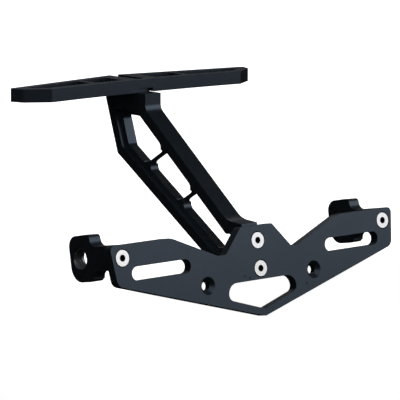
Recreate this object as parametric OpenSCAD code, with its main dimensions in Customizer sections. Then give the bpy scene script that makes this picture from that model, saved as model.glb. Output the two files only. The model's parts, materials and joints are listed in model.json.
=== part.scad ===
// Machined tail tidy for a motorbike: a slotted tail bar, a sloping arm with
// three windows, and a wide number plate bracket that carries two indicators.
// The origin is on the top face of the tail bar, at mid width, on the land
// behind the centre slot. X runs across the bike, Y forward and Z up.

/* [Overall layout] */

// Distance from the tail bar's origin back to the number plate face, mm
reach = 107.5; // [100:0.5:116]

// Height of the tail bar's top face above the bracket's screw line, mm
drop = 84; // [78:0.5:92]

// Forward lean of the number plate bracket, degrees
plate_tilt = 10; // [6:0.5:14]

/* [Tail bar] */

// Thickness of the tail bar, mm
bar_thickness = 8; // [6:0.5:10]

// Length of the tail bar across the bike, mm
bar_length = 182; // [170:1:200]

// Width of the tail bar from its rear edge to its point, mm
bar_width = 31.5; // [28:0.5:36]

// Depth of the hollow curve along the rear edge, mm
rear_curve_depth = 4.2; // [2:0.1:6]

// Width of the rims round the tail bar's openings, mm
bar_rim = 5.5; // [4.5:0.1:6.5]

// Width of the centre slot, for M6 bolts, mm
centre_slot_width = 6.5; // [6.2:0.1:7]

// Land left behind the centre slot, mm
slot_land = 4; // [3:0.5:6]

// Depth of the groove that takes the arm's key, mm
key_depth = 2.5; // [1.5:0.1:3.5]

/* [Arm] */

// Width of the arm across the bike, mm
arm_width = 12; // [10:0.5:14]

// Thickness of the web between the two pockets, mm
web_thickness = 6; // [4:0.5:8]

// Overhang of the arm's head behind the tail bar's origin, mm
head_overhang = 10; // [8:0.5:11]

// Height of the head's rear face below the tail bar, mm
head_height = 9.4; // [8:0.2:12]

// Thickness of the ribs between the windows, mm
rib_thickness = 1.8; // [1.4:0.1:2.6]

// Width of the ribs across the bike, mm
rib_width = 2.6; // [2:0.1:4]

// Width of the arm's upper rail, mm
upper_rail = 6.8; // [5:0.2:8]

// Width of the arm's lower rail, mm
lower_rail = 5.8; // [4:0.2:7]

/* [Number plate bracket] */

// Overall width of the bracket, mm
plate_width = 216.4; // [214:0.2:224]

// Thickness of the bracket, mm
plate_thickness = 6; // [5:0.5:7]

// Distance between the two number plate holes, mm
plate_hole_spacing = 81.6; // [76:0.2:88]

// Diameter of the number plate holes, mm
plate_hole_diameter = 5.5; // [5.2:0.1:6]

// Distance from the middle of the bracket to the near end of each slot, mm
slot_start = 51.7; // [50:0.1:56]

// Metal left between each slot and the end of the bracket, mm
slot_end_margin = 13.7; // [13:0.1:18]

// Width of each slot, mm
slot_width = 8; // [6:0.2:9]

/* [Indicator brackets] */

// Distance from each end of the plate to the middle of its indicator bracket, mm
bracket_inset = 8.2; // [7.6:0.1:10]

// Thickness of each indicator bracket, mm
bracket_thickness = 8; // [7:0.5:10]

// Diameter of the indicator's thread, mm
indicator_thread = 12; // [8:0.5:13]

// Distance of the indicator's thread in front of the number plate face, mm
indicator_setback = 34.7; // [32:0.1:40]

/* [Screws] */

// Diameter of the countersunk screws, mm
screw_diameter = 5; // [4:0.5:5]

// Diameter of the screw heads, mm
head_diameter = 10; // [9:0.2:10.4]

// Length of the screws, mm
screw_length = 16; // [14:1:18]

// Width across the flats of the hex sockets, mm
socket_width = 3; // [2.5:0.1:3.4]

/* [Hidden] */

anodised = [0.05, 0.055, 0.065];
plated = [0.8, 0.8, 0.78];

// Fits and small allowances
thread_clearance = 0.05;
key_clearance = 0.2;
foot_clearance = 0.01;
head_rim = 0.3;
screw_hole_clearance = 0.25;
hole_allowance = 1;
cut_past = 1;
corner_step = 9;
round_sides = 96;

// Fine details that follow the main sizes
edge_break = 0.8;
small_radius = 2;
window_radius = 3;
rib_corner_radius = 4;

// Tail bar
bar_rear = slot_land / 2;
bar_point = bar_width - bar_rear;
rear_corner_x = bar_length * 0.401;
rear_corner_y = -bar_rear - rear_curve_depth;
end_corner_x = bar_length * 0.48;
end_corner_y = 3.2;
tip_x = bar_length / 2;
tip_y = 12.8;
rear_curve_radius = (pow(rear_corner_x, 2) + pow(rear_curve_depth, 2)) / (2 * rear_curve_depth);
curve_sides = 1440;
inner_window_start = arm_width / 2 + 7;
inner_window_end = inner_window_start + 21;
cross_rib = 3.5;
outer_slot_start = inner_window_end + cross_rib;
outer_slot_end = tip_x - 11;
groove_half = arm_width / 2 + key_clearance;

// Arm: foot points are held to the bracket's back, head points to the tail bar
foot_top = 9.2;
foot_bottom = -22.9;
foot_length = 21.2;
foot_rise = 8.6;
foot_radius = 15;
head_front = 29;
head_front_drop = 14;
knee_y = 17.7;
knee_drop = 46.7;
heel_length = 25.2;
heel_drop = 24;
key_start = 1;
pocket_depth = (arm_width - web_thickness) / 2;
web_margin = 2.9;
front_rail = 6;
head_block = 11.5;
foot_block = 17.2;
foot_pocket_low = -7;
foot_pocket_high = 6.8;
rib_places = [[0.361, 0.486], [0.731, 0.802]];
relief_reach = 1.4;
relief_end = 2.2;
head_hole_places = [8.5, 20];
head_hole_diameter = 6;
head_hole_depth = 12;

// Number plate bracket
wing_top = 7.5;
hump_top = 7.8;
hump_half = 12;
valley_height = -6.9;
valley_near = 25.2;
valley_far = 30.6;
shoulder = 64.5;
end_slant = 3;
end_low_radius = 5;
end_high_radius = 3;
tip_height = -45.5;
wing_slope = 0.2845;
slot_line = -9.8;
slot_length = plate_width / 2 - slot_end_margin - slot_start;
slot_middle = slot_start + slot_length / 2;
bracket_spacing = plate_width - 2 * bracket_inset;
plate_hole_line = -23;
opening_top = -23.9;
opening_top_half = 25;
opening_top_radius = 6.5;
opening_side_half = 26.3;
opening_side_line = -33;
opening_side_radius = 4;
opening_tip = -41.2;
screw_line_low = -17.5;
screw_line_high = -1;
seat_radius = head_diameter / 2 + head_rim;

// Indicator brackets
tab_behind = 11;
tab_ahead = 9.3;
tab_top = 14.4;
tab_bottom = -12.4;
tab_top_radius = 7;
tab_rear_radius = 2.5;
tab_heel_radius = 3.5;
tab_bottom_radius = 9;
neck_top = 7.5;
neck_bottom = -6.5;
neck_radius = 4.5;
indicator_rise = 1.4;
tab_rear = indicator_setback - tab_behind;
tab_front = indicator_setback + tab_ahead;
mouth_chamfer = 0.5;

// Screws
socket_depth = 2.2;
socket_sides = 6;
tip_chamfer = 0.5;

// Plane geometry helpers
function unit(v) = v / norm(v);
function turned_left(v) = [-v[1], v[0]];
function turned_right(v) = [v[1], -v[0]];
function cross_size(a, b) = a[0] * b[1] - a[1] * b[0];
function meet(p, d, q, e) = p + d * cross_size(q - p, e) / cross_size(d, e);
function beside(line, gap) = [line[0] + gap * line[2], line[1], line[2]];
function crossing(a, b) = meet(a[0], a[1], b[0], b[1]);
function with_radius(p, r) = [p[0], p[1], r];
function flat(p) = [p[0], p[1]];
function mirrored(points) = [for (i = [len(points) - 1:-1:0]) [-points[i][0], points[i][1], points[i][2]]];

// One corner of an outline, as points along its rounding; a straight one stays as it is
straight_angle = 89.5;
function bend(a, b, c, r) =
    r == 0 ? [b] :
    let (u = unit(a - b), w = unit(c - b))
    let (half = acos(max(-1, min(1, u * w))) / 2)
    half > straight_angle ? [b] :
    let (centre = b + unit(u + w) * r / sin(half))
    let (start = b + u * r / tan(half) - centre)
    let (finish = b + w * r / tan(half) - centre)
    let (first = atan2(start[1], start[0]))
    let (raw = atan2(finish[1], finish[0]) - first)
    let (sweep = raw > 180 ? raw - 360 : raw < -180 ? raw + 360 : raw)
    let (steps = max(2, ceil(abs(sweep) / corner_step)))
    [for (i = [0:steps]) centre + r * [cos(first + sweep * i / steps), sin(first + sweep * i / steps)]];

// A whole outline, from corners given as [x, y, radius]
function rounded(corners) =
    let (n = len(corners))
    [for (i = [0:n - 1])
        for (p = bend(flat(corners[(i + n - 1) % n]), flat(corners[i]), flat(corners[(i + 1) % n]), corners[i][2])) p];

// A point beside the number plate, as its depth in front of the face and its height
function plate_yz(depth, height) = [
    -reach + depth * cos(plate_tilt) + height * sin(plate_tilt),
    -drop - depth * sin(plate_tilt) + height * cos(plate_tilt)
];

// Rear edge of the tail bar at a distance from the middle, and its forward edge
function rear_edge(x) = -bar_rear - rear_curve_depth * pow(x / rear_corner_x, 2);
point_slope = (bar_point - tip_y) / tip_x;
function forward_edge(x) = bar_point - point_slope * x;
forward_rim = bar_rim * sqrt(1 + pow(point_slope, 2));
end_slope = (end_corner_y - rear_corner_y) / (end_corner_x - rear_corner_x);
end_rim = bar_rim * sqrt(1 + pow(end_slope, 2));
function end_edge(x) = rear_corner_y + end_slope * (x - rear_corner_x);
slot_bend_x = rear_corner_x - bar_rim * 0.45;

// Arm corners
foot_crook = [-reach + foot_length, -drop + foot_rise];
head_crook = [-head_overhang, -bar_thickness - head_height];
knee = [knee_y, -knee_drop];
heel = [-reach + heel_length, -drop - heel_drop];
brow = [head_front, -head_front_drop];

// Arm edges, each as a point, a direction and the way into the metal
upper_edge = [foot_crook, unit(head_crook - foot_crook), turned_right(unit(head_crook - foot_crook))];
lower_edge = [heel, unit(knee - heel), turned_left(unit(knee - heel))];
front_edge = [knee, unit(brow - knee), turned_left(unit(brow - knee))];
top_edge = [[0, -bar_thickness - head_block], [1, 0], [0, -1]];
low_edge = [plate_yz(foot_block, foot_pocket_low), [cos(plate_tilt), -sin(plate_tilt)], [sin(plate_tilt), cos(plate_tilt)]];
high_edge = [plate_yz(foot_block, foot_pocket_high), [cos(plate_tilt), -sin(plate_tilt)], [-sin(plate_tilt), -cos(plate_tilt)]];

// Edges of the windows, which stand in from those of the pocket
window_upper = beside(upper_edge, upper_rail + web_margin);
window_lower = beside(lower_edge, lower_rail + web_margin);
window_front = beside(front_edge, front_rail + web_margin);
window_top = beside(top_edge, web_margin);
window_low = beside(low_edge, web_margin);
window_high = beside(high_edge, web_margin);

// A rib's middle line, from the windows' upper side to their lower side
function rib_line(place) =
    let (high = window_upper[0] + place[0] * norm(head_crook - foot_crook) * window_upper[1])
    let (low = window_lower[0] + place[1] * norm(knee - heel) * window_lower[1])
    [high, unit(low - high), turned_left(unit(low - high))];
lower_rib = rib_line(rib_places[0]);
upper_rib = rib_line(rib_places[1]);

// Extrudes an outline drawn as [y, z] along X, about the middle plane
module across_bike(width) {
    translate([-width / 2, 0, 0])
        rotate([90, 0, 90])
            linear_extrude(width)
                children();
}

// Stands its children on the number plate's face, with Z out of the face
module on_plate() {
    translate([0, -reach, -drop])
        rotate([90 - plate_tilt, 0, 0])
            children();
}

// Tail bar

module bar_outline() {
    half = [
        [rear_corner_x, rear_corner_y, small_radius],
        [end_corner_x, end_corner_y, small_radius * 2],
        [tip_x, tip_y, small_radius]
    ];
    polygon(rounded(concat(half, [[0, bar_point, small_radius]], mirrored(half))));
}

// Tapered outer slot on the right side
module outer_slot() {
    middle_x = (outer_slot_start + slot_bend_x) / 2;
    polygon(rounded([
        [outer_slot_start, rear_edge(outer_slot_start) + bar_rim, small_radius],
        [middle_x, rear_edge(middle_x) + bar_rim, 0],
        [slot_bend_x, rear_edge(slot_bend_x) + bar_rim, small_radius * 2],
        [outer_slot_end, end_edge(outer_slot_end) + end_rim, small_radius * 0.7],
        [outer_slot_end, forward_edge(outer_slot_end) - forward_rim, small_radius * 0.7],
        [outer_slot_start, forward_edge(outer_slot_start) - forward_rim, small_radius]
    ]));
}

// Four-sided inner window on the right side
module inner_window() {
    polygon(rounded([
        [inner_window_start, rear_edge(inner_window_start) + bar_rim, small_radius],
        [inner_window_end, rear_edge(inner_window_end) + bar_rim, small_radius],
        [inner_window_end, forward_edge(inner_window_end) - forward_rim, small_radius],
        [inner_window_start, forward_edge(inner_window_start) - forward_rim, small_radius]
    ]));
}

module bar_openings() {
    slot_radius = centre_slot_width / 2;
    translate([0, 0, -bar_thickness - cut_past])
        linear_extrude(bar_thickness + 2 * cut_past) {
            outer_slot();
            mirror([1, 0, 0])
                outer_slot();
            inner_window();
            mirror([1, 0, 0])
                inner_window();
        }
    translate([0, bar_rear + slot_radius, -bar_thickness - cut_past])
        cylinder(h = bar_thickness + 2 * cut_past, r = slot_radius, $fn = round_sides);
    translate([-slot_radius, bar_rear + slot_radius, -bar_thickness - cut_past])
        cube([centre_slot_width, bar_width, bar_thickness + 2 * cut_past]);
}

// Groove for the arm's key, open at both edges of the bar
module key_groove() {
    translate([0, bar_width + cut_past, -bar_thickness])
        rotate([90, 0, 0])
            linear_extrude(2 * bar_width)
                polygon([
                    [-groove_half - edge_break - cut_past, -cut_past],
                    [groove_half + edge_break + cut_past, -cut_past],
                    [groove_half, edge_break],
                    [groove_half, key_depth],
                    [-groove_half, key_depth],
                    [-groove_half, edge_break]
                ]);
}

module tail_bar() {
    color(anodised)
        difference() {
            translate([0, 0, -bar_thickness])
                linear_extrude(bar_thickness)
                    bar_outline();
            translate([0, -bar_rear - rear_curve_radius, -bar_thickness - cut_past])
                cylinder(h = bar_thickness + 2 * cut_past, r = rear_curve_radius, $fn = curve_sides);
            bar_openings();
            key_groove();
        }
}

// Arm

module arm_outline() {
    key_top = -bar_thickness + key_depth;
    polygon(rounded([
        with_radius(plate_yz(plate_thickness + foot_clearance, foot_top), 0),
        with_radius(foot_crook, foot_radius),
        with_radius(head_crook, window_radius * 2),
        [-head_overhang, -bar_thickness, 0],
        [key_start, -bar_thickness, 0],
        [key_start, key_top, 0],
        [head_front, key_top, 0],
        with_radius(brow, window_radius),
        with_radius(knee, window_radius),
        with_radius(heel, window_radius * 2),
        with_radius(plate_yz(plate_thickness + foot_clearance, foot_bottom), 0)
    ]));
}

module pocket_outline() {
    pocket_upper = beside(upper_edge, upper_rail);
    pocket_lower = beside(lower_edge, lower_rail);
    pocket_front = beside(front_edge, front_rail);
    polygon(rounded([
        with_radius(crossing(high_edge, pocket_upper), small_radius * 3),
        with_radius(crossing(pocket_upper, top_edge), window_radius),
        with_radius(crossing(top_edge, pocket_front), window_radius),
        with_radius(crossing(pocket_front, pocket_lower), window_radius * 1.5),
        with_radius(crossing(pocket_lower, low_edge), small_radius * 3),
        with_radius(plate_yz(foot_block, foot_pocket_low), small_radius * 4),
        with_radius(plate_yz(foot_block, foot_pocket_high), small_radius * 2)
    ]));
}

module head_window() {
    side = beside(upper_rib, rib_thickness / 2);
    polygon(rounded([
        with_radius(crossing(window_upper, window_top), window_radius),
        with_radius(crossing(window_top, window_front), window_radius),
        with_radius(crossing(window_front, window_lower), window_radius),
        with_radius(crossing(window_lower, side), rib_corner_radius),
        with_radius(crossing(side, window_upper), rib_corner_radius)
    ]));
}

module middle_window() {
    side = beside(upper_rib, -rib_thickness / 2);
    other = beside(lower_rib, rib_thickness / 2);
    polygon(rounded([
        with_radius(crossing(window_upper, side), rib_corner_radius),
        with_radius(crossing(side, window_lower), rib_corner_radius),
        with_radius(crossing(window_lower, other), rib_corner_radius),
        with_radius(crossing(other, window_upper), rib_corner_radius)
    ]));
}

module foot_window() {
    side = beside(lower_rib, -rib_thickness / 2);
    end_depth = foot_block + web_margin;
    polygon(rounded([
        with_radius(crossing(window_upper, side), rib_corner_radius),
        with_radius(crossing(side, window_lower), rib_corner_radius),
        with_radius(crossing(window_lower, window_low), window_radius),
        with_radius(plate_yz(end_depth, foot_pocket_low + web_margin), window_radius * 1.6),
        with_radius(plate_yz(end_depth, foot_pocket_high - web_margin), window_radius * 0.7),
        with_radius(crossing(window_high, window_upper), window_radius)
    ]));
}

// Relief that thins a rib across the bike, short of the rails at both ends
module rib_relief(rib) {
    half = rib_thickness / 2 + relief_reach;
    high = beside(window_upper, relief_end);
    low = beside(window_lower, relief_end);
    near = beside(rib, half);
    far = beside(rib, -half);
    polygon(rounded([
        with_radius(crossing(high, near), small_radius),
        with_radius(crossing(near, low), small_radius),
        with_radius(crossing(low, far), small_radius),
        with_radius(crossing(far, high), small_radius)
    ]));
}

// Tapped hole that points down its own -Z, from just above its mouth
module tapped_hole(diameter, depth) {
    translate([0, 0, -depth])
        cylinder(h = depth + cut_past, r = diameter / 2 + thread_clearance, $fn = round_sides);
}

module arm() {
    screw_reach = screw_length + hole_allowance;
    color(anodised)
        difference() {
            across_bike(arm_width)
                arm_outline();
            for (side = [-1, 1])
                translate([side * (web_thickness / 2 + arm_width / 2), 0, 0])
                    across_bike(arm_width)
                        pocket_outline();
            across_bike(arm_width + 2 * cut_past) {
                head_window();
                middle_window();
                foot_window();
            }
            for (side = [-1, 1])
                translate([side * (rib_width + arm_width) / 2, 0, 0])
                    across_bike(arm_width) {
                        rib_relief(lower_rib);
                        rib_relief(upper_rib);
                    }
            for (place = head_hole_places)
                translate([0, place, -bar_thickness + key_depth])
                    tapped_hole(head_hole_diameter, head_hole_depth);
            for (height = [screw_line_high, screw_line_low])
                on_plate()
                    translate([0, height, 0])
                        tapped_hole(screw_diameter, screw_reach);
        }
}

// Number plate bracket

module plate_outline() {
    half_width = plate_width / 2;
    low_x = half_width - end_slant;
    half = [
        [low_x, tip_height + wing_slope * low_x, end_low_radius],
        [half_width, wing_top, end_high_radius],
        [shoulder, wing_top, foot_radius],
        [valley_far, valley_height, window_radius],
        [valley_near, valley_height, small_radius],
        [hump_half, hump_top, small_radius]
    ];
    polygon(rounded(concat([[0, tip_height, window_radius]], half, mirrored(half))));
}

// Five-sided opening above the lower point
module lower_opening() {
    half = [
        [opening_side_half, opening_side_line, opening_side_radius],
        [opening_top_half, opening_top, opening_top_radius]
    ];
    polygon(rounded(concat([[0, opening_tip, small_radius]], half, mirrored(half))));
}

// Round-ended slot, cut along X about its own middle
module long_slot() {
    radius = slot_width / 2;
    centres = slot_length - slot_width;
    for (end = [-1, 1])
        translate([end * centres / 2, 0, -plate_thickness - cut_past])
            cylinder(h = plate_thickness + 2 * cut_past, r = radius, $fn = round_sides);
    translate([-centres / 2, -radius, -plate_thickness - cut_past])
        cube([centres, slot_width, plate_thickness + 2 * cut_past]);
}

// Countersunk clearance hole, with its seat at the number plate face
module countersunk_hole(hole_radius) {
    cone_depth = seat_radius - hole_radius;
    translate([0, 0, -plate_thickness - cut_past])
        cylinder(h = plate_thickness + cut_past, r = hole_radius, $fn = round_sides);
    translate([0, 0, -cone_depth])
        cylinder(h = cone_depth + cut_past, r1 = hole_radius, r2 = seat_radius + cut_past, $fn = round_sides);
}

module number_plate_bracket() {
    screw_hole_radius = screw_diameter / 2 + screw_hole_clearance;
    color(anodised)
        on_plate()
            difference() {
                translate([0, 0, -plate_thickness])
                    linear_extrude(plate_thickness)
                        plate_outline();
                translate([0, 0, -plate_thickness - cut_past])
                    linear_extrude(plate_thickness + 2 * cut_past)
                        lower_opening();
                for (side = [-1, 1]) {
                    translate([side * slot_middle, slot_line, 0])
                        long_slot();
                    translate([side * plate_hole_spacing / 2, plate_hole_line, 0])
                        countersunk_hole(plate_hole_diameter / 2);
                    translate([side * bracket_spacing / 2, 0, 0])
                        countersunk_hole(screw_hole_radius);
                }
                for (height = [screw_line_high, screw_line_low])
                    translate([0, height, 0])
                        countersunk_hole(screw_hole_radius);
            }
}

// Indicator brackets

// Side view of a bracket, as [depth in front of the plate face, height]
module bracket_outline() {
    polygon(rounded([
        [plate_thickness, neck_top, 0],
        [tab_rear, neck_top, neck_radius],
        [tab_rear, tab_top, tab_rear_radius],
        [tab_front, tab_top, tab_top_radius],
        [tab_front, tab_bottom, tab_bottom_radius],
        [tab_rear, tab_bottom, tab_heel_radius],
        [tab_rear, neck_bottom, neck_radius],
        [plate_thickness, neck_bottom, 0]
    ]));
}

// Threaded indicator hole along X, chamfered at both mouths
module indicator_hole() {
    radius = indicator_thread / 2 + thread_clearance;
    half = bracket_thickness / 2;
    rotate([0, 90, 0])
        cylinder(h = bracket_thickness + 2 * cut_past, r = radius, center = true, $fn = round_sides);
    for (side = [-1, 1])
        translate([side * (half - mouth_chamfer), 0, 0])
            rotate([0, side * 90, 0])
                cylinder(h = mouth_chamfer + cut_past, r1 = radius, r2 = radius + mouth_chamfer + cut_past,
                    $fn = round_sides);
}

module indicator_bracket(side) {
    color(anodised)
        on_plate()
            translate([side * bracket_spacing / 2, 0, 0])
                difference() {
                    translate([-bracket_thickness / 2, 0, 0])
                        rotate([0, 90, 0])
                            linear_extrude(bracket_thickness)
                                bracket_outline();
                    translate([0, indicator_rise, -indicator_setback])
                        indicator_hole();
                    tapped_hole(screw_diameter, screw_length + hole_allowance);
                }
}

module indicator_bracket_left() {
    indicator_bracket(-1);
}

module indicator_bracket_right() {
    indicator_bracket(1);
}

// Screws

// Countersunk hex socket screw, its head flush with Z = 0 and its shank down -Z
module countersunk_screw() {
    head_radius = head_diameter / 2;
    shank_radius = screw_diameter / 2;
    cone_end = -head_rim - head_radius + shank_radius;
    socket_radius = socket_width / 2 / cos(180 / socket_sides);
    color(plated)
        difference() {
            rotate_extrude($fn = round_sides)
                polygon([
                    [0, 0],
                    [0, -screw_length],
                    [shank_radius - tip_chamfer, -screw_length],
                    [shank_radius, -screw_length + tip_chamfer],
                    [shank_radius, cone_end],
                    [head_radius, -head_rim],
                    [head_radius, 0]
                ]);
            translate([0, 0, -socket_depth])
                cylinder(h = socket_depth + cut_past, r = socket_radius, $fn = socket_sides);
        }
}

module plate_screw_upper() {
    on_plate()
        translate([0, screw_line_high, 0])
            countersunk_screw();
}

module plate_screw_lower() {
    on_plate()
        translate([0, screw_line_low, 0])
            countersunk_screw();
}

module end_screw_left() {
    on_plate()
        translate([-bracket_spacing / 2, 0, 0])
            countersunk_screw();
}

module end_screw_right() {
    on_plate()
        translate([bracket_spacing / 2, 0, 0])
            countersunk_screw();
}

tail_bar();
arm();
number_plate_bracket();
indicator_bracket_left();
indicator_bracket_right();
plate_screw_upper();
plate_screw_lower();
end_screw_left();
end_screw_right();
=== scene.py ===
import json
import math

import bmesh
import bpy
from mathutils import Matrix, Vector


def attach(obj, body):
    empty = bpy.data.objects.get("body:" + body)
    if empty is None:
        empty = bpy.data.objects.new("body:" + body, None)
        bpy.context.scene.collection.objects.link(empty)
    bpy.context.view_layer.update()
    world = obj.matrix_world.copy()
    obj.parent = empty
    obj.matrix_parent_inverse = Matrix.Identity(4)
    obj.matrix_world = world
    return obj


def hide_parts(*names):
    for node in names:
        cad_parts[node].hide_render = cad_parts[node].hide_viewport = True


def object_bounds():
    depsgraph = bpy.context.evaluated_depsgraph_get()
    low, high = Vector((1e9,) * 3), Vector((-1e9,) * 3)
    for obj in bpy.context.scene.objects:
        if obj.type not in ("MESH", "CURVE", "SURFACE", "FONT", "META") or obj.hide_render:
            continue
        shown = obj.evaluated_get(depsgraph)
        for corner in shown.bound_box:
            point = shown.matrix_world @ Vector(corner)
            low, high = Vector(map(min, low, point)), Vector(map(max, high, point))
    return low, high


bl_info = {
    "name": "Tail tidy",
    "version": (1, 0, 0),
    "blender": (4, 5, 0),
    "location": "View3D > Sidebar > Tail tidy",
    "description": "Dresses a machined motorbike tail tidy and lights it as a product picture",
    "category": "Object",
}

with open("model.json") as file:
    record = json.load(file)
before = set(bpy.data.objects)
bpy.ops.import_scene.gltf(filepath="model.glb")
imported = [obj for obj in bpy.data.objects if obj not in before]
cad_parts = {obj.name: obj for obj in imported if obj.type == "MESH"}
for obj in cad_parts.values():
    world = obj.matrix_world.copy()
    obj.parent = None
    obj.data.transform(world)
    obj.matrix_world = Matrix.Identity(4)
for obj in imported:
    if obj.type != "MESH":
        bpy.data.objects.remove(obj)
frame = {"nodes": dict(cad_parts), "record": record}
cad_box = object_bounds()
mounts = {mount["name"]: mount for mount in frame["record"]["mounts"]}

MM = 0.001

PLATES = ("tail_bar", "arm", "number_plate_bracket")
BRACKETS = {
    "indicator_bracket_left": "indicator_thread_left",
    "indicator_bracket_right": "indicator_thread_right",
}
SCREWS = ("plate_screw_upper", "plate_screw_lower", "end_screw_left", "end_screw_right")

# The way that the screws go in
INWARD = -Vector(mounts["plate_face"]["axis"])

# How the solids are cleaned and their edges broken
MERGE_DISTANCE = 0.002 * MM
FLAT_ANGLE = math.radians(1.0)
EDGE_ANGLE = math.radians(32.0)
EDGE_SEGMENTS = 2
FACE_WEIGHT = 100

# Sockets of a colour Mix node, which share their names
FACTOR, FIRST, SECOND = 0, 6, 7
MIXED = 2

# Anodised finish: its blasted grain, the wider clouds in its roughness, and the clear oxide
GRAIN_WIDTH = 0.714 * MM
GRAIN_HEIGHT = 0.05 * MM
GRAIN_BUMP = 0.12
CLOUD_WIDTH = 18.2 * MM
CLOUD_SMOOTHER = 0.04
CLOUD_ROUGHER = 0.05
OXIDE_IOR = 1.65
PLAIN_GLOSS = 0.5

# Dull specks on the number plate bracket: centres in metres, and how each one fades out
MARKS = ((-0.0127, -0.1111, -0.1044), (-0.0091, -0.1114, -0.1060), (0.0341, -0.1128, -0.1140))
MARK_CORE = 0.3 * MM
MARK_RADIUS = 1.1 * MM
MARK_GLOSS = 0.3

# Bare metals, and the dark metal that paints the shade in the sockets: grain, and the least and greatest
# roughness of each
METAL_GRAIN_WIDTH = 1.43 * MM
METAL_BUMP = 0.1
SOCKET_ROUGHNESS = (0.4, 0.6)
THREAD_ROUGHNESS = (0.3, 0.5)

# Zinc plating, with painted shade in the mouth of each socket and in the joint round each head
ZINC_GRAIN_WIDTH = 1.11 * MM
ZINC_ROUGHNESS = (0.24, 0.38)
ZINC_METALLIC = 0.75
HEAD_RADIUS = 5.0 * MM
FAR_AWAY = 1.0
MOUTH_SHADE_FADE = 0.3 * MM
JOINT_SHADE_HALF_WIDTH = 0.2 * MM

# Indicator threads
BORE_MARGIN = 1.01
POINTS_PER_TURN = 40
RIDGE_SIDES = 4
RIDGE_SLIMNESS = 0.4
THREAD_START = math.radians(-102.0)
Z_TO_X = (0.0, math.radians(90.0), 0.0)

# Room and floor
WHITE = "#ffffff"
WHITE_STRENGTH = 1.0
FLOOR_COLOUR = "#c8c8c8"
FLOOR_RADIUS = 6.0
FLOOR_SIDES = 96

# Grey cards round the part: first and last bearing in degrees from +X towards +Y, and top edge
CARD_COLOUR = "#303030"
CARD_RADIUS = 1.3
CARD_STEPS = 24
CARD_LIFT = 0.02
WALLS = {
    "card_left": (84.0, 172.0, 1.5),
    "card_rear": (172.0, 250.0, 0.28),
    "card_front": (-16.0, 84.0, 0.65),
    "card_right": (255.0, 340.0, -0.05),
}

# Level cards: two corners of each, and how high the upper one hangs
ABOVE = ((0.0, -0.5), (1.3, 0.6))
ABOVE_HEIGHT = 0.75
BELOW = ((-1.2, -2.4), (2.2, 1.2))

# Soft boxes: place, width and power in watts
LAMPS = {
    "key": ((1.1, -1.4, 0.6), 1.0, 4.5),
    "side": ((-1.6, 0.1, 1.3), 0.6, 2.0),
    "back": ((0.3, 1.2, 1.6), 0.6, 2.0),
}
LAMP_TARGET = Vector((0.0, -0.05, -0.06))
UP = Vector((0.0, 0.0, 1.0))

# Camera, fitted to the photograph
CAMERA_PLACE = Vector((-1.0289, -1.3001, 0.1943))
CAMERA_AHEAD = Vector((0.6287, 0.7610, -0.1602))
CAMERA_RIGHT = Vector((0.7709, -0.6369, 0.0))
SENSOR_WIDTH = 36.0
LENS = 246.4
NEAREST_SEEN = 0.05
FURTHEST_SEEN = 50.0


def srgb(colour):
    """A colour written as a hex string, as the linear RGBA that the shaders take."""
    parts = [int(colour[i : i + 2], 16) / 255 for i in (1, 3, 5)]
    return tuple(p / 12.92 if p <= 0.04045 else ((p + 0.055) / 1.055) ** 2.4 for p in parts) + (1.0,)


def add_node(tree, kind, inputs=(), **settings):
    """Adds one node, sets its properties and inputs, and links any input given as a socket."""
    node = tree.nodes.new(kind)
    for name, value in settings.items():
        setattr(node, name, value)
    for name, value in dict(inputs).items():
        if isinstance(value, bpy.types.NodeSocket):
            tree.links.new(value, node.inputs[name])
        else:
            node.inputs[name].default_value = value
    return node


def new_material(name):
    """An empty node material and its tree."""
    material = bpy.data.materials.new(name)
    material.use_nodes = True
    material.node_tree.nodes.clear()
    return material, material.node_tree


def handling_marks(tree, place):
    """The anodised face's specular level, lower in the dull specks."""
    level = PLAIN_GLOSS
    for mark in MARKS:
        away = add_node(tree, "ShaderNodeVectorMath", {0: place, 1: mark}, operation="DISTANCE")
        share = add_node(
            tree,
            "ShaderNodeMapRange",
            {
                "Value": away.outputs["Value"],
                "From Min": MARK_CORE,
                "From Max": MARK_RADIUS,
                "To Min": MARK_GLOSS,
            },
        )
        dulled = add_node(
            tree,
            "ShaderNodeMath",
            {0: level, 1: share.outputs["Result"]},
            operation="MULTIPLY",
        )
        level = dulled.outputs["Value"]
    return level


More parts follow.
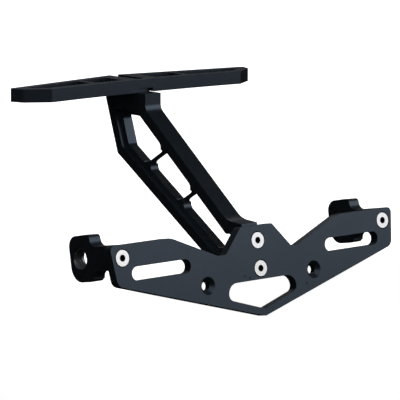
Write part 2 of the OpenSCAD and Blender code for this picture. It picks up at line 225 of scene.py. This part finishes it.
def anodised_material(settings):
    """Black anodised aluminium with a bead-blasted satin face.

    The dyed oxide is clear on top and dark below, so it mirrors a little of the room in a cold tone.
    Blasting leaves a grain of about a quarter of a millimetre, drawn at 0.7 mm so that it shows.
    """
    material, tree = new_material("black_anodised")
    place = add_node(tree, "ShaderNodeTexCoord").outputs["Object"]
    grain = add_node(
        tree,
        "ShaderNodeTexNoise",
        {"Vector": place, "Scale": 1.0 / GRAIN_WIDTH, "Detail": 3.0, "Roughness": 0.6},
    )
    cloud = add_node(
        tree,
        "ShaderNodeTexNoise",
        {"Vector": place, "Scale": 1.0 / CLOUD_WIDTH, "Detail": 3.0, "Roughness": 0.5},
    )
    spread = add_node(
        tree,
        "ShaderNodeMapRange",
        {
            "Value": cloud.outputs["Fac"],
            "To Min": settings.roughness - CLOUD_SMOOTHER,
            "To Max": settings.roughness + CLOUD_ROUGHER,
        },
    )
    tone = add_node(
        tree,
        "ShaderNodeMix",
        {
            FACTOR: grain.outputs["Fac"],
            FIRST: srgb(settings.anodised_dark),
            SECOND: srgb(settings.anodised_light),
        },
        data_type="RGBA",
    )
    bump = add_node(
        tree,
        "ShaderNodeBump",
        {"Height": grain.outputs["Fac"], "Strength": GRAIN_BUMP, "Distance": GRAIN_HEIGHT},
    )
    surface = add_node(
        tree,
        "ShaderNodeBsdfPrincipled",
        {
            "Base Color": tone.outputs[MIXED],
            "IOR": OXIDE_IOR,
            "Roughness": spread.outputs["Result"],
            "Specular IOR Level": handling_marks(tree, place),
            "Specular Tint": srgb(settings.sheen),
            "Normal": bump.outputs["Normal"],
        },
    )
    add_node(tree, "ShaderNodeOutputMaterial", {"Surface": surface.outputs["BSDF"]})
    return material


def bare_metal(name, colour, roughness):
    """A bare metal with a fine grain, between the two roughnesses given."""
    material, tree = new_material(name)
    place = add_node(tree, "ShaderNodeTexCoord").outputs["Object"]
    grain = add_node(
        tree,
        "ShaderNodeTexNoise",
        {"Vector": place, "Scale": 1.0 / METAL_GRAIN_WIDTH, "Detail": 4.0, "Roughness": 0.6},
    )
    spread = add_node(
        tree,
        "ShaderNodeMapRange",
        {"Value": grain.outputs["Fac"], "To Min": roughness[0], "To Max": roughness[1]},
    )
    bump = add_node(
        tree,
        "ShaderNodeBump",
        {"Height": grain.outputs["Fac"], "Strength": METAL_BUMP, "Distance": GRAIN_HEIGHT},
    )
    surface = add_node(
        tree,
        "ShaderNodeBsdfPrincipled",
        {
            "Base Color": srgb(colour),
            "Metallic": 1.0,
            "Roughness": spread.outputs["Result"],
            "Normal": bump.outputs["Normal"],
        },
    )
    add_node(tree, "ShaderNodeOutputMaterial", {"Surface": surface.outputs["BSDF"]})
    return material


def head_middle(node):
    """The middle of a screw's head, on its outer face."""
    corners = [vertex.co for vertex in frame["nodes"][node].data.vertices]
    top = min(corner.dot(INWARD) for corner in corners)
    rim = [corner for corner in corners if corner.dot(INWARD) < top + MERGE_DISTANCE]
    return sum(rim, Vector()) / len(rim)


def zinc_material(settings):
    """Bright zinc-plated steel of the screw heads: pale, neutral and satin.

    Painted shade darkens the mouth of each socket and the joint between the head and the plate.
    """
    material, tree = new_material("bright_zinc")
    place = add_node(tree, "ShaderNodeTexCoord").outputs["Object"]
    nearest = FAR_AWAY
    for node in SCREWS:
        middle = head_middle(node)
        away = add_node(tree, "ShaderNodeVectorMath", {0: place, 1: middle}, operation="DISTANCE")
        nearer = add_node(
            tree,
            "ShaderNodeMath",
            {0: nearest, 1: away.outputs["Value"]},
            operation="MINIMUM",
        )
        nearest = nearer.outputs["Value"]
    # Painted shade: the socket colour fills the mouth of each socket and a thin ring at the rim of each
    # head, where it meets the plate.
    mouth = add_node(
        tree,
        "ShaderNodeMapRange",
        {
            "Value": nearest,
            "From Min": settings.socket_reach - MOUTH_SHADE_FADE,
            "From Max": settings.socket_reach,
        },
    )
    joint = add_node(
        tree,
        "ShaderNodeMath",
        {0: nearest, 1: HEAD_RADIUS - settings.screw_edge_width, 2: JOINT_SHADE_HALF_WIDTH},
        operation="COMPARE",
    )
    unshaded = add_node(
        tree,
        "ShaderNodeMath",
        {0: mouth.outputs["Result"], 1: joint.outputs["Value"]},
        operation="SUBTRACT",
        use_clamp=True,
    )
    tone = add_node(
        tree,
        "ShaderNodeMix",
        {
            FACTOR: unshaded.outputs["Value"],
            FIRST: srgb(settings.socket_shade_colour),
            SECOND: srgb(settings.zinc),
        },
        data_type="RGBA",
    )
    grain = add_node(
        tree,
        "ShaderNodeTexNoise",
        {"Vector": place, "Scale": 1.0 / ZINC_GRAIN_WIDTH, "Detail": 4.0},
    )
    spread = add_node(
        tree,
        "ShaderNodeMapRange",
        {"Value": grain.outputs["Fac"], "To Min": ZINC_ROUGHNESS[0], "To Max": ZINC_ROUGHNESS[1]},
    )
    surface = add_node(
        tree,
        "ShaderNodeBsdfPrincipled",
        {
            "Base Color": tone.outputs[MIXED],
            "Metallic": ZINC_METALLIC,
            "Roughness": spread.outputs["Result"],
        },
    )
    add_node(tree, "ShaderNodeOutputMaterial", {"Surface": surface.outputs["BSDF"]})
    return material


def socket_shade_material(settings):
    """Dark metal inside the sockets: painted shade, so that the hexagons look dark."""
    return bare_metal("socket_painted_shade", settings.socket_shade_colour, SOCKET_ROUGHNESS)


def thread_material(settings):
    """Bare aluminium of the tapped threads, cut after the anodising and lighter than it."""
    return bare_metal("cut_aluminium", settings.thread_colour, THREAD_ROUGHNESS)


MAKERS = {
    "black_anodised": anodised_material,
    "bright_zinc": zinc_material,
    "socket_painted_shade": socket_shade_material,
    "cut_aluminium": thread_material,
}


def material_for(name):
    """The named material, made at its first use."""
    return bpy.data.materials.get(name) or MAKERS[name](bpy.context.scene.tail_tidy)


def plain_object(name, mesh):
    """A new object in the scene from a finished mesh."""
    piece = bpy.data.objects.new(name, mesh)
    bpy.context.scene.collection.objects.link(piece)
    return piece


def applied(piece):
    """Turns an object with modifiers into one with a plain mesh."""
    bpy.context.view_layer.update()
    graph = bpy.context.evaluated_depsgraph_get()
    mesh = bpy.data.meshes.new_from_object(piece.evaluated_get(graph), depsgraph=graph)
    old = piece.data
    piece.modifiers.clear()
    piece.data = mesh
    bpy.data.meshes.remove(old)
    return piece


def broken_edges(node, width):
    """A copy of a machined solid with its sharp edges broken, as a deburring pass leaves them."""
    mesh = frame["nodes"][node].data.copy()
    work = bmesh.new()
    work.from_mesh(mesh)
    bmesh.ops.remove_doubles(work, verts=work.verts, dist=MERGE_DISTANCE)
    bmesh.ops.dissolve_limit(
        work,
        angle_limit=FLAT_ANGLE,
        verts=work.verts,
        edges=work.edges,
        delimit={"NORMAL"},
    )
    work.to_mesh(mesh)
    work.free()
    mesh.materials.clear()
    mesh.shade_smooth()
    piece = plain_object(node + "_finished", mesh)
    bevel = piece.modifiers.new("edge_break", "BEVEL")
    bevel.width = width
    bevel.segments = EDGE_SEGMENTS
    bevel.limit_method = "ANGLE"
    bevel.angle_limit = EDGE_ANGLE
    bevel.use_clamp_overlap = True
    flat = piece.modifiers.new("flat_faces", "WEIGHTED_NORMAL")
    flat.weight = FACE_WEIGHT
    return applied(piece)


def paint_near_axis(piece, point, axis, reach, low, high):
    """Gives the second material to the faces within reach of an axis, between two places along it."""
    for face in piece.data.polygons:
        away = face.center - point
        along = away.dot(axis)
        if low < along < high and (away - along * axis).length < reach:
            face.material_index = 1


def finish_piece(piece, node, materials):
    """Gives a piece its materials and its place on the frame."""
    for name in materials:
        piece.data.materials.append(material_for(name))
    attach(piece, "root")
    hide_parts(node)


class TailTidySettings(bpy.types.PropertyGroup):
    """Sizes and colours that a user would change."""

    edge_width: bpy.props.FloatProperty(
        name="Edge break",
        description="Width of the broken edge on the machined plates",
        default=0.4 * MM,
        min=0.05 * MM,
        max=1.0 * MM,
        unit="LENGTH",
    )
    screw_edge_width: bpy.props.FloatProperty(
        name="Screw edge break",
        description="Width of the rounded edge on the screws",
        default=0.15 * MM,
        min=0.02 * MM,
        max=0.5 * MM,
        unit="LENGTH",
    )
    thread_pitch: bpy.props.FloatProperty(
        name="Thread pitch",
        description="Pitch of the indicator threads",
        default=1.75 * MM,
        min=0.5 * MM,
        max=2.0 * MM,
        unit="LENGTH",
    )
    thread_depth: bpy.props.FloatProperty(
        name="Thread depth",
        description="Height of the indicator threads above the wall of the hole",
        default=1.15 * MM,
        min=0.2 * MM,
        max=1.2 * MM,
        unit="LENGTH",
    )
    socket_reach: bpy.props.FloatProperty(
        name="Socket reach",
        description="Distance from a screw's axis to the corners of its hex socket",
        default=2.15 * MM,
        min=1.0 * MM,
        max=3.0 * MM,
        unit="LENGTH",
    )
    socket_depth: bpy.props.FloatProperty(
        name="Socket depth",
        description="Depth below a screw's face that is taken as its socket",
        default=2.5 * MM,
        min=1.0 * MM,
        max=4.0 * MM,
        unit="LENGTH",
    )
    roughness: bpy.props.FloatProperty(
        name="Satin roughness",
        description="Mean roughness of the anodised faces",
        default=0.38,
        min=0.05,
        max=0.9,
        subtype="FACTOR",
    )
    anodised_dark: bpy.props.StringProperty(
        name="Anodised, dark",
        description="Darker tone of the anodised finish, as a hex colour",
        default="#0d0f12",
    )
    anodised_light: bpy.props.StringProperty(
        name="Anodised, light",
        description="Lighter tone of the anodised finish, as a hex colour",
        default="#13171b",
    )
    sheen: bpy.props.StringProperty(
        name="Sheen",
        description="Tint of the anodised finish's reflection, as a hex colour",
        default="#bcd4f0",
    )
    zinc: bpy.props.StringProperty(
        name="Zinc",
        description="Colour of the screws, as a hex colour",
        default="#e8e8ea",
    )
    # Painted shade: the dark colour of the socket faces, the socket mouths and the ring round each head.
    socket_shade_colour: bpy.props.StringProperty(
        name="Socket",
        description="Colour inside the screws' sockets, as a hex colour",
        default="#121212",
    )
    thread_colour: bpy.props.StringProperty(
        name="Thread",
        description="Colour of the cut threads, as a hex colour",
        default="#7c7e80",
    )
    floor_gap: bpy.props.FloatProperty(
        name="Floor gap",
        description="Clear height between the floor and the part, which hangs free",
        default=0.3,
        min=0.0,
        max=1.0,
        unit="LENGTH",
    )


class TAILTIDY_OT_plates(bpy.types.Operator):
    """Finish the tail bar, the arm and the number plate bracket"""

    bl_idname = "tailtidy.plates"
    bl_label = "Finish the machined plates"

    def execute(self, context):
        settings = context.scene.tail_tidy
        for node in PLATES:
            piece = broken_edges(node, settings.edge_width)
            finish_piece(piece, node, ("black_anodised",))
        return {"FINISHED"}


class TAILTIDY_OT_brackets(bpy.types.Operator):
    """Finish the two indicator brackets, with bare walls in their tapped holes"""

    bl_idname = "tailtidy.brackets"
    bl_label = "Finish the indicator brackets"

    def execute(self, context):
        settings = context.scene.tail_tidy
        for node, mount in BRACKETS.items():
            piece = broken_edges(node, settings.edge_width)
            finish_piece(piece, node, ("black_anodised", "cut_aluminium"))
            hole = mounts[mount]
            half = hole["dims"]["length_mm"] / 2 * MM
            reach = hole["dims"]["r_mm"] * MM * BORE_MARGIN
            paint_near_axis(piece, Vector(hole["pos_m"]), Vector(hole["axis"]), reach, -half, half)
        return {"FINISHED"}


def thread_tree():
    """Geometry Nodes that wind one thread ridge round the X axis at each vertex of a mesh."""
    tree = bpy.data.node_groups.new("thread_ridges", "GeometryNodeTree")
    sockets = tree.interface
    sockets.new_socket("Geometry", in_out="INPUT", socket_type="NodeSocketGeometry")
    for name in ("Pitch", "Depth", "Radius", "Length"):
        sockets.new_socket(name, in_out="INPUT", socket_type="NodeSocketFloat")
    sockets.new_socket("Material", in_out="INPUT", socket_type="NodeSocketMaterial")
    sockets.new_socket("Geometry", in_out="OUTPUT", socket_type="NodeSocketGeometry")
    given = add_node(tree, "NodeGroupInput").outputs
    waste = add_node(
        tree,
        "ShaderNodeMath",
        {0: given["Depth"], 1: 2 * RIDGE_SLIMNESS},
        operation="MULTIPLY",
    )
    climb = add_node(
        tree,
        "ShaderNodeMath",
        {0: given["Length"], 1: waste.outputs["Value"]},
        operation="SUBTRACT",
    )
    turns = add_node(
        tree,
        "ShaderNodeMath",
        {0: climb.outputs["Value"], 1: given["Pitch"]},
        operation="DIVIDE",
    )
    helix = add_node(
        tree,
        "GeometryNodeCurveSpiral",
        {
            "Resolution": POINTS_PER_TURN,
            "Rotations": turns.outputs["Value"],
            "Start Radius": given["Radius"],
            "End Radius": given["Radius"],
            "Height": climb.outputs["Value"],
        },
    )
    upright = add_node(
        tree,
        "GeometryNodeSetCurveNormal",
        {"Curve": helix.outputs["Curve"]},
        mode="Z_UP",
    )
    ridge = add_node(
        tree,
        "GeometryNodeCurvePrimitiveCircle",
        {"Resolution": RIDGE_SIDES, "Radius": given["Depth"]},
    )
    slim = add_node(
        tree,
        "GeometryNodeTransform",
        {"Geometry": ridge.outputs["Curve"], "Scale": (1.0, RIDGE_SLIMNESS, 1.0)},
    )
    wound = add_node(
        tree,
        "GeometryNodeCurveToMesh",
        {
            "Curve": upright.outputs["Curve"],
            "Profile Curve": slim.outputs["Geometry"],
            "Fill Caps": True,
        },
    )
    half = add_node(
        tree,
        "ShaderNodeMath",
        {0: climb.outputs["Value"], 1: -0.5},
        operation="MULTIPLY",
    )
    down = add_node(tree, "ShaderNodeCombineXYZ", {"Z": half.outputs["Value"]})
    centred = add_node(
        tree,
        "GeometryNodeTransform",
        {
            "Geometry": wound.outputs["Mesh"],
            "Translation": down.outputs["Vector"],
            "Rotation": (0.0, 0.0, THREAD_START),
        },
    )
    turned = add_node(
        tree,
        "GeometryNodeTransform",
        {"Geometry": centred.outputs["Geometry"], "Rotation": Z_TO_X},
    )
    placed = add_node(
        tree,
        "GeometryNodeInstanceOnPoints",
        {"Points": given["Geometry"], "Instance": turned.outputs["Geometry"]},
    )
    real = add_node(tree, "GeometryNodeRealizeInstances", {"Geometry": placed.outputs["Instances"]})
    dressed = add_node(
        tree,
        "GeometryNodeSetMaterial",
        {"Geometry": real.outputs["Geometry"], "Material": given["Material"]},
    )
    add_node(tree, "NodeGroupOutput", {"Geometry": dressed.outputs["Geometry"]})
    return tree


class TAILTIDY_OT_threads(bpy.types.Operator):
    """Cut the threads of the two indicator holes"""

    bl_idname = "tailtidy.threads"
    bl_label = "Cut the indicator threads"

    def execute(self, context):
        settings = context.scene.tail_tidy
        holes = [mounts[name] for name in BRACKETS.values()]
        mesh = bpy.data.meshes.new("indicator_threads")
        mesh.from_pydata([hole["pos_m"] for hole in holes], [], [])
        piece = plain_object("indicator_threads", mesh)
        tree = thread_tree()
        values = {
            "Pitch": settings.thread_pitch,
            "Depth": settings.thread_depth,
            "Radius": holes[0]["dims"]["r_mm"] * MM,
            "Length": holes[0]["dims"]["length_mm"] * MM,
            "Material": material_for("cut_aluminium"),
        }
        winding = piece.modifiers.new("threads", "NODES")
        winding.node_group = tree
        for item in tree.interface.items_tree:
            if item.in_out == "INPUT" and item.name in values:
                winding[item.identifier] = values[item.name]
        applied(piece)
        piece.data.shade_flat()
        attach(piece, "root")
        return {"FINISHED"}


class TAILTIDY_OT_screws(bpy.types.Operator):
    """Finish the four countersunk screws"""

    bl_idname = "tailtidy.screws"
    bl_label = "Finish the screws"

    def execute(self, context):
        settings = context.scene.tail_tidy
        reach = settings.socket_reach
        depth = settings.socket_depth
        for node in SCREWS:
            piece = broken_edges(node, settings.screw_edge_width)
            finish_piece(piece, node, ("bright_zinc", "socket_painted_shade"))
            # The faces inside each socket take the dark socket material, which paints the shade there.
            paint_near_axis(piece, head_middle(node), INWARD, reach, MERGE_DISTANCE, depth)
        return {"FINISHED"}


def aim(piece, place, ahead, right):
    """Puts a camera or lamp at a place, looking ahead, with its right-hand side along right."""
    back = -ahead.normalized()
    side = right.normalized()
    up = back.cross(side)
    piece.matrix_world = Matrix.Translation(place) @ Matrix((side, up, back)).transposed().to_4x4()


def seen_white(tree):
    """1 for the rays that see the background: straight, in a reflection or through glass."""
    ray = add_node(tree, "ShaderNodeLightPath").outputs
    seen = ray["Is Camera Ray"]
    for other in ("Is Glossy Ray", "Is Transmission Ray"):
        either = add_node(tree, "ShaderNodeMath", {0: seen, 1: ray[other]}, operation="MAXIMUM")
        seen = either.outputs["Value"]
    return seen


class TAILTIDY_OT_stage(bpy.types.Operator):
    """Set the floor, the cards, the light and the camera"""

    bl_idname = "tailtidy.stage"
    bl_label = "Set the stage"

    def execute(self, context):
        scene = context.scene
        scene.view_settings.view_transform = "Standard"
        self.floor_height = Vector(cad_box[0]).z - scene.tail_tidy.floor_gap
        self.floor()
        self.world(scene)
        self.cards()
        self.lamps()
        self.camera(scene)
        return {"FINISHED"}

    def floor(self):
        """A pale matt floor that is white to the rays that see it."""
        bpy.ops.mesh.primitive_circle_add(
            vertices=FLOOR_SIDES,
            radius=FLOOR_RADIUS,
            fill_type="NGON",
            location=(0.0, 0.0, self.floor_height),
        )
        floor = bpy.context.object
        floor.name = "floor"
        material, tree = new_material("pale_floor")
        matt = add_node(tree, "ShaderNodeBsdfDiffuse", {"Color": srgb(FLOOR_COLOUR)})
        glow = add_node(
            tree,
            "ShaderNodeEmission",
            {"Color": srgb(WHITE), "Strength": seen_white(tree)},
        )
        both = add_node(
            tree,
            "ShaderNodeAddShader",
            {0: matt.outputs["BSDF"], 1: glow.outputs["Emission"]},
        )
        add_node(tree, "ShaderNodeOutputMaterial", {"Surface": both.outputs["Shader"]})
        floor.data.materials.append(material)

    def world(self, scene):
        """A white room, at the strength at which a colour renders about as it is written."""
        world = bpy.data.worlds.new("studio")
        scene.world = world
        world.use_nodes = True
        tree = world.node_tree
        tree.nodes.clear()
        room = add_node(
            tree,
            "ShaderNodeBackground",
            {"Color": srgb(WHITE), "Strength": WHITE_STRENGTH},
        )
        add_node(tree, "ShaderNodeOutputWorld", {"Surface": room.outputs["Background"]})

    def card(self, name, corners, faces):
        """A grey card that the camera doesn't see, for the dark faces to mirror."""
        mesh = bpy.data.meshes.new(name)
        mesh.from_pydata(corners, [], faces)
        piece = plain_object(name, mesh)
        piece.visible_camera = False
        material = bpy.data.materials.get("grey_card")
        if material is None:
            material, tree = new_material("grey_card")
            matt = add_node(tree, "ShaderNodeBsdfDiffuse", {"Color": srgb(CARD_COLOUR)})
            add_node(tree, "ShaderNodeOutputMaterial", {"Surface": matt.outputs["BSDF"]})
        mesh.materials.append(material)

    def wall(self, name, first, last, high):
        """An upright card bent round the part, between two bearings."""
        corners = []
        for i in range(CARD_STEPS + 1):
            bearing = math.radians(first + (last - first) * i / CARD_STEPS)
            across = (CARD_RADIUS * math.cos(bearing), CARD_RADIUS * math.sin(bearing))
            corners.append((*across, self.floor_height + CARD_LIFT))
            corners.append((*across, high))
        faces = [(2 * i, 2 * i + 2, 2 * i + 3, 2 * i + 1) for i in range(CARD_STEPS)]
        self.card(name, corners, faces)

    def sheet(self, name, low, high, height):
        """A level card between two corners."""
        (x0, y0), (x1, y1) = low, high
        corners = [(x0, y0, height), (x1, y0, height), (x1, y1, height), (x0, y1, height)]
        self.card(name, corners, [(0, 1, 2, 3)])

    def cards(self):
        """The cards; between their edges the part's satin faces mirror the white room."""
        for name, (first, last, high) in WALLS.items():
            self.wall(name, first, last, high)
        self.sheet("card_above", *ABOVE, ABOVE_HEIGHT)
        self.sheet("card_below", *BELOW, self.floor_height + CARD_LIFT)

    def lamps(self):
        """The soft boxes, as the camera sees them: the key at the right, one at the left, one behind."""
        for name, (place, width, power) in LAMPS.items():
            light = bpy.data.lights.new(name, "AREA")
            light.size = width
            light.energy = power
            lamp = bpy.data.objects.new(name, light)
            bpy.context.scene.collection.objects.link(lamp)
            ahead = LAMP_TARGET - Vector(place)
            aim(lamp, Vector(place), ahead, ahead.cross(UP))

    def camera(self, scene):
        """The camera that stands where the photograph was taken from."""
        data = bpy.data.cameras.new("camera")
        data.sensor_width = SENSOR_WIDTH
        data.lens = LENS
        data.clip_start = NEAREST_SEEN
        data.clip_end = FURTHEST_SEEN
        camera = bpy.data.objects.new("camera", data)
        scene.collection.objects.link(camera)
        aim(camera, CAMERA_PLACE, CAMERA_AHEAD, CAMERA_RIGHT)
        scene.camera = camera


OPERATORS = (
    TAILTIDY_OT_plates,
    TAILTIDY_OT_brackets,
    TAILTIDY_OT_threads,
    TAILTIDY_OT_screws,
    TAILTIDY_OT_stage,
)


class TAILTIDY_PT_panel(bpy.types.Panel):
    """Lists the operators and the settings."""

    bl_idname = "TAILTIDY_PT_panel"
    bl_label = "Tail tidy"
    bl_space_type = "VIEW_3D"
    bl_region_type = "UI"
    bl_category = "Tail tidy"

    def draw(self, context):
        column = self.layout.column()
        for operator in OPERATORS:
            column.operator(operator.bl_idname)
        for name in TailTidySettings.__annotations__:
            column.prop(context.scene.tail_tidy, name)


CLASSES = (TailTidySettings, *OPERATORS, TAILTIDY_PT_panel)


def register():
    for cls in CLASSES:
        bpy.utils.register_class(cls)
    bpy.types.Scene.tail_tidy = bpy.props.PointerProperty(type=TailTidySettings)


def unregister():
    del bpy.types.Scene.tail_tidy
    for cls in reversed(CLASSES):
        bpy.utils.unregister_class(cls)


def main():
    register()
    bpy.ops.tailtidy.plates()
    bpy.ops.tailtidy.brackets()
    bpy.ops.tailtidy.threads()
    bpy.ops.tailtidy.screws()
    bpy.ops.tailtidy.stage()
    bpy.context.view_layer.update()


if __name__ == "__main__":
    main()
